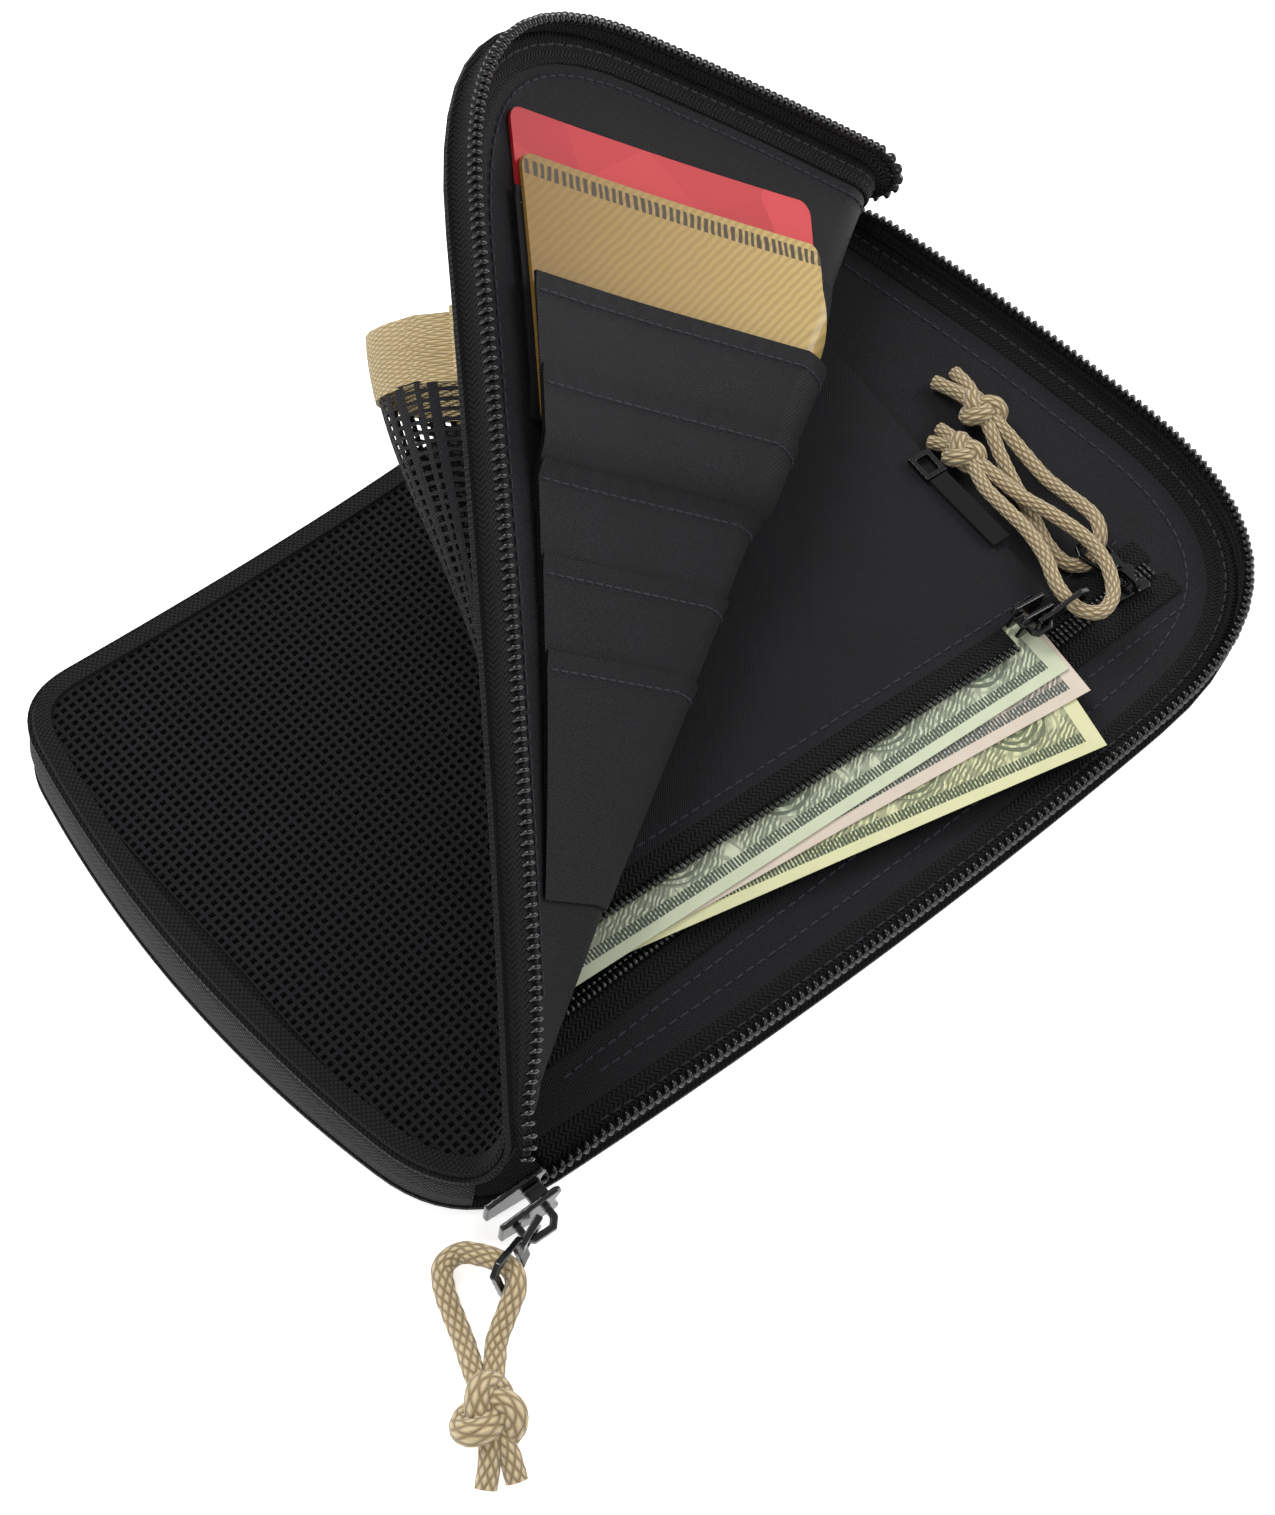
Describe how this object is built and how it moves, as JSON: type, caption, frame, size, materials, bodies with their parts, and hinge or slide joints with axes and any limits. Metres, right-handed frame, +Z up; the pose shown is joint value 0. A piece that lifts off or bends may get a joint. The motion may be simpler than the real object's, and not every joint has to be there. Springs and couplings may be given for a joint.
{
  "type": "zip-around travel wallet",
  "caption": "Black fabric zip-around wallet, corner peeled open over card slots, cards, banknotes and a zipped pouch, with tan knotted cords.",
  "frame": {"origin": "middle of the back panel's underside, on the surface that the wallet lies on", "axes": "+X along the long open side away from the main slider's corner, +Y across towards the closed long side, +Z up"},
  "size_m": [0.2593, 0.1974, 0.094],
  "materials": {
    "shell_cloth": "black woven nylon",
    "lining_cloth": "black twill nylon lining",
    "mesh_cloth": "black knitted mesh",
    "tape_cloth": "black knitted zip tape",
    "coil_nylon": "glossy black nylon monofilament",
    "black_metal": "glossy black enamel",
    "tan_webbing": "tan woven binding",
    "tan_cord": "tan braided cord",
    "red_card": "printed card",
    "gold_card": "printed card",
    "note_paper": "printed cotton paper"
  },
  "bodies": {
    "wallet_body": {"back_shell": "shell_cloth", "back_lining": "lining_cloth", "front_shell": "shell_cloth", "front_lining": "lining_cloth", "side_gusset": "shell_cloth", "zip_tape_back": "tape_cloth", "zip_coil_back": "coil_nylon", "zip_tape_front": "tape_cloth", "zip_coil_front": "coil_nylon", "zip_end_stop": "coil_nylon", "slot_panel_1": "lining_cloth", "slot_panel_2": "lining_cloth", "slot_panel_3": "lining_cloth", "slot_panel_4": "lining_cloth", "slot_panel_5": "lining_cloth", "slot_panel_6": "lining_cloth", "card_red": "red_card", "card_gold": "gold_card", "mesh_pocket": "mesh_cloth", "mesh_binding": "tan_webbing", "pouch_back": "lining_cloth", "pouch_front": "lining_cloth", "pouch_tape_lower": "tape_cloth", "pouch_coil_lower": "coil_nylon", "pouch_tape_upper": "tape_cloth", "pouch_coil_upper": "coil_nylon", "inset_tape_lower": "tape_cloth", "inset_coil_lower": "coil_nylon", "inset_tape_upper": "tape_cloth", "inset_coil_upper": "coil_nylon", "banknote_1": "note_paper", "banknote_2": "note_paper", "banknote_3": "note_paper", "key_leash": "tape_cloth", "key_ring": "black_metal", "main_slider": "black_metal", "pouch_slider": "black_metal"},
    "main_pull_body": {"main_pull": "black_metal", "main_cord": "tan_cord", "main_knot": "tan_cord"},
    "pouch_pull_body": {"pouch_pull": "black_metal", "pouch_cord": "tan_cord", "pouch_knot": "tan_cord"},
    "inset_slider_body": {"inset_slider": "black_metal"},
    "inset_pull_body": {"inset_pull": "black_metal", "inset_cord": "tan_cord", "inset_knot": "tan_cord"}
  },
  "joints": [
    {"name": "main_pull_swing", "type": "hinge", "parent": "wallet_body", "child": "main_pull_body", "pos_m": [-0.10301, -0.07173, 0.0078], "axis": [0, 0, 1], "range_deg": [0, 40]},
    {"name": "pouch_pull_swing", "type": "hinge", "parent": "wallet_body", "child": "pouch_pull_body", "pos_m": [0.05704, -0.04391, 0.0115], "axis": [0, 0, -1], "range_deg": [0, 2]},
    {"name": "inset_slider_travel", "type": "slide", "parent": "wallet_body", "child": "inset_slider_body", "axis": [0.9996, -0.0279, 0], "range_m": [0, 0.003]},
    {"name": "inset_pull_lift", "type": "hinge", "parent": "inset_slider_body", "child": "inset_pull_body", "pos_m": [0.0828, -0.04662, 0.0061], "axis": [0.9998, 0.02, 0], "range_deg": [0, 1.5]}
  ]
}
